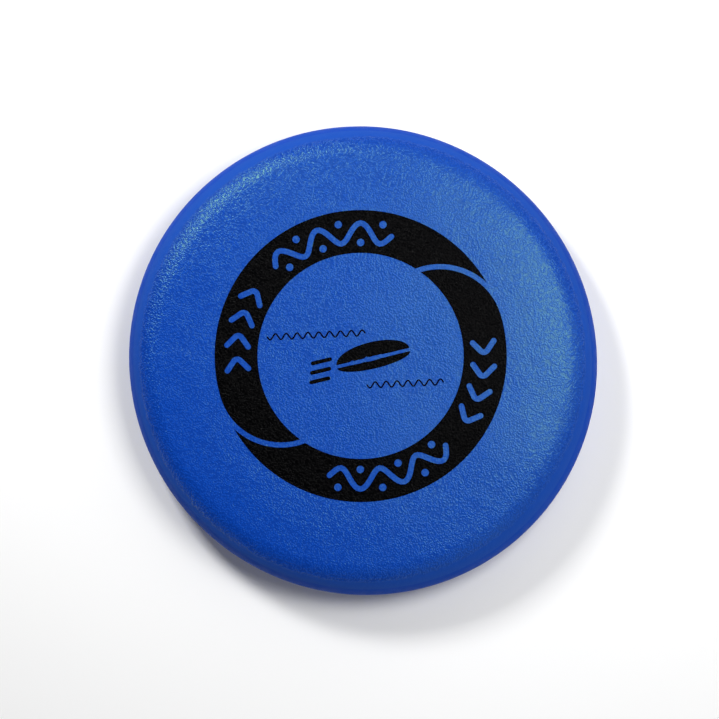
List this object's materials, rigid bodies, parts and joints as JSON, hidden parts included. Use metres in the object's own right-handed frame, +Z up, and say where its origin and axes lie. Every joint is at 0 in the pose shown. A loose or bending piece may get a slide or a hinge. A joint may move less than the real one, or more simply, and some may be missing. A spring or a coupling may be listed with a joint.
{
  "type": "soft flying disc",
  "caption": "Round soft foam flying disc with a thick rounded rim, a dished underside, a pebbled coating and a black printed ring on its flat top.",
  "frame": {"origin": "under the middle of the disc, on the surface that it rests on", "axes": "+Z up along the disc's axis, out of the printed face; +X along the line that the middle mark is set along"},
  "size_m": [0.24, 0.24, 0.0342],
  "materials": {
    "foam": "soft polyurethane foam, out of sight under the coating",
    "coating": "royal blue satin elastomer coating with a fine pebbled grain",
    "print": "black satin ink that follows the coating's grain"
  },
  "bodies": {
    "root": {"foam_core": "foam", "top_skin": "coating", "underside_skin": "coating", "ring_print_a": "print", "ring_print_b": "print", "emblem_dome": "print", "emblem_keel": "print", "emblem_dash_1": "print", "emblem_dash_2": "print", "emblem_dash_3": "print", "upper_ripple_line": "print", "lower_ripple_line": "print"}
  },
  "joints": []
}
